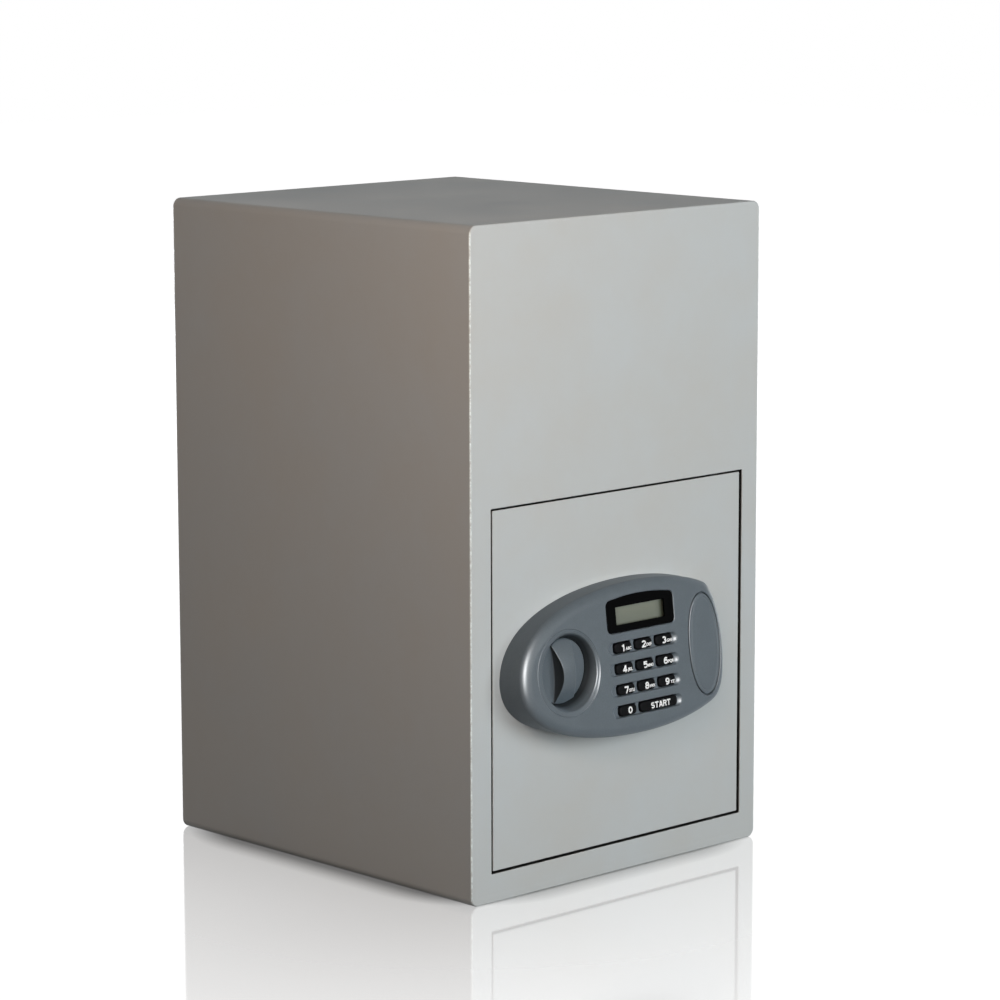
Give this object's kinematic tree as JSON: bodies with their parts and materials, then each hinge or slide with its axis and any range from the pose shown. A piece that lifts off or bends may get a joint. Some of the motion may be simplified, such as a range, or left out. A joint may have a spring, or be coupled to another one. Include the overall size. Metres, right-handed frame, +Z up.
{
  "type": "deposit safe",
  "caption": "Small grey steel deposit safe with a rear tilting hopper and a flush front door that has a moulded lock panel, turning knob, keypad, display and oval key cover.",
  "frame": {"origin": "centre of the base, on the surface the safe stands on", "axes": "+Z up, -Y towards the door, +X to the right seen from the front"},
  "size_m": [0.25, 0.3172, 0.41],
  "materials": {
    "safe_paint": "light grey powder coat with a fine texture, satin",
    "zinc_steel": "zinc plated, satin",
    "bright_steel": "turned and polished",
    "housing_plastic": "dark metallic grey, satin",
    "black_plastic": "glossy black",
    "key_plastic": "black, semi-gloss",
    "grey_plastic": "dark grey, matte",
    "display": "grey-green display, glossy",
    "rubber": "black, matte",
    "board": "green lacquer",
    "brass": "machined",
    "red_plastic": "red, semi-gloss",
    "cell_wrap": "plain printed wrap, glossy"
  },
  "bodies": {
    "body": {"body_shell": "safe_paint", "front_panel": "safe_paint", "rear_panel": "safe_paint", "hopper_guard": "zinc_steel", "anti_fish_baffle": "zinc_steel", "hopper_left_bracket": "zinc_steel", "hopper_right_bracket": "zinc_steel", "hopper_rod": "bright_steel", "upper_hinge_bracket": "zinc_steel", "lower_hinge_bracket": "zinc_steel", "upper_hinge_pin": "bright_steel", "lower_hinge_pin": "bright_steel", "floor_mat": "rubber"},
    "door": {"door_plate": "safe_paint", "upper_hinge_leaf": "zinc_steel", "lower_hinge_leaf": "zinc_steel", "inner_cover": "safe_paint", "upper_bolt_guide": "zinc_steel", "lower_bolt_guide": "zinc_steel", "upper_guide_stud": "zinc_steel", "lower_guide_stud": "zinc_steel", "solenoid_body": "zinc_steel", "battery_box": "grey_plastic", "battery_1": "cell_wrap", "battery_2": "cell_wrap", "battery_3": "cell_wrap", "battery_4": "cell_wrap", "lock_housing": "housing_plastic", "window_bezel": "black_plastic", "lcd_screen": "display", "key_mat": "rubber", "circuit_board": "board", "override_cylinder": "brass"},
    "bolt_work": {"bolt_carrier": "zinc_steel", "upper_bolt": "bright_steel", "lower_bolt": "bright_steel"},
    "knob": {"knob": "housing_plastic", "knob_spindle": "bright_steel", "crank_arm": "zinc_steel"},
    "hopper": {"hopper_door": "safe_paint", "hopper_pan": "zinc_steel", "hopper_pull": "zinc_steel"},
    "solenoid_plunger": {"solenoid_plunger": "bright_steel"},
    "override_cover": {"override_cover": "housing_plastic"},
    "override_plug": {"override_plug": "brass"},
    "battery_lid": {"battery_lid": "grey_plastic"},
    "reset_button": {"reset_button": "red_plastic"},
    "key_1": {"key_1": "key_plastic"},
    "key_2": {"key_2": "key_plastic"},
    "key_3": {"key_3": "key_plastic"},
    "key_4": {"key_4": "key_plastic"},
    "key_5": {"key_5": "key_plastic"},
    "key_6": {"key_6": "key_plastic"},
    "key_7": {"key_7": "key_plastic"},
    "key_8": {"key_8": "key_plastic"},
    "key_9": {"key_9": "key_plastic"},
    "key_0": {"key_0": "key_plastic"},
    "key_start": {"key_start": "key_plastic"}
  },
  "joints": [
    {"name": "door_hinge", "type": "hinge", "parent": "body", "child": "door", "pos_m": [0.0922, -0.1285, 0.13], "axis": [0, 0, 1], "range_deg": [0, 95]},
    {"name": "knob_turn", "type": "hinge", "parent": "door", "child": "knob", "pos_m": [-0.063, -0.1475, 0.1383], "axis": [0, 1, 0], "range_deg": [0, 90]},
    {"name": "bolt_throw", "type": "slide", "parent": "door", "child": "bolt_work", "axis": [-1, 0, 0], "range_m": [0, 0.01556]},
    {"name": "hopper_tilt", "type": "hinge", "parent": "body", "child": "hopper", "pos_m": [0, 0.1315, 0.295], "axis": [-1, 0, 0], "range_deg": [0, 55]},
    {"name": "plunger_pull", "type": "slide", "parent": "door", "child": "solenoid_plunger", "axis": [0, 0, -1], "range_m": [0, 0.0025], "stiffness_N_per_m": 200, "springref_m": -0.003},
    {"name": "cover_pull", "type": "slide", "parent": "door", "child": "override_cover", "axis": [0, -0.9929, 0.1191], "range_m": [0, 0.025]},
    {"name": "override_turn", "type": "hinge", "parent": "door", "child": "override_plug", "pos_m": [0.0546, -0.14, 0.1398], "axis": [0, 1, 0], "range_deg": [0, 90]},
    {"name": "lid_swing", "type": "hinge", "parent": "door", "child": "battery_lid", "pos_m": [0.03, -0.1037, 0.159], "axis": [-1, 0, 0], "range_deg": [0, 110]},
    {"name": "reset_press", "type": "slide", "parent": "door", "child": "reset_button", "axis": [0, -1, 0], "range_m": [0, 0.0015], "stiffness_N_per_m": 300, "springref_m": -0.001},
    {"name": "key_1_press", "type": "slide", "parent": "door", "child": "key_1", "axis": [0, 0.9929, -0.1191], "range_m": [0, 0.0012], "stiffness_N_per_m": 300, "springref_m": -0.001},
    {"name": "key_2_press", "type": "slide", "parent": "door", "child": "key_2", "axis": [0, 0.9929, -0.1191], "range_m": [0, 0.0012], "stiffness_N_per_m": 300, "springref_m": -0.001},
    {"name": "key_3_press", "type": "slide", "parent": "door", "child": "key_3", "axis": [0, 0.9929, -0.1191], "range_m": [0, 0.0012], "stiffness_N_per_m": 300, "springref_m": -0.001},
    {"name": "key_4_press", "type": "slide", "parent": "door", "child": "key_4", "axis": [0, 0.9929, -0.1191], "range_m": [0, 0.0012], "stiffness_N_per_m": 300, "springref_m": -0.001},
    {"name": "key_5_press", "type": "slide", "parent": "door", "child": "key_5", "axis": [0, 0.9929, -0.1191], "range_m": [0, 0.0012], "stiffness_N_per_m": 300, "springref_m": -0.001},
    {"name": "key_6_press", "type": "slide", "parent": "door", "child": "key_6", "axis": [0, 0.9929, -0.1191], "range_m": [0, 0.0012], "stiffness_N_per_m": 300, "springref_m": -0.001},
    {"name": "key_7_press", "type": "slide", "parent": "door", "child": "key_7", "axis": [0, 0.9929, -0.1191], "range_m": [0, 0.0012], "stiffness_N_per_m": 300, "springref_m": -0.001},
    {"name": "key_8_press", "type": "slide", "parent": "door", "child": "key_8", "axis": [0, 0.9929, -0.1191], "range_m": [0, 0.0012], "stiffness_N_per_m": 300, "springref_m": -0.001},
    {"name": "key_9_press", "type": "slide", "parent": "door", "child": "key_9", "axis": [0, 0.9929, -0.1191], "range_m": [0, 0.0012], "stiffness_N_per_m": 300, "springref_m": -0.001},
    {"name": "key_0_press", "type": "slide", "parent": "door", "child": "key_0", "axis": [0, 0.9929, -0.1191], "range_m": [0, 0.0012], "stiffness_N_per_m": 300, "springref_m": -0.001},
    {"name": "key_start_press", "type": "slide", "parent": "door", "child": "key_start", "axis": [0, 0.9929, -0.1191], "range_m": [0, 0.0012], "stiffness_N_per_m": 300, "springref_m": -0.001}
  ],
  "couplings": [
    {"joint": "knob_turn", "follows": "bolt_throw", "rad_per_m": 100.97}
  ]
}
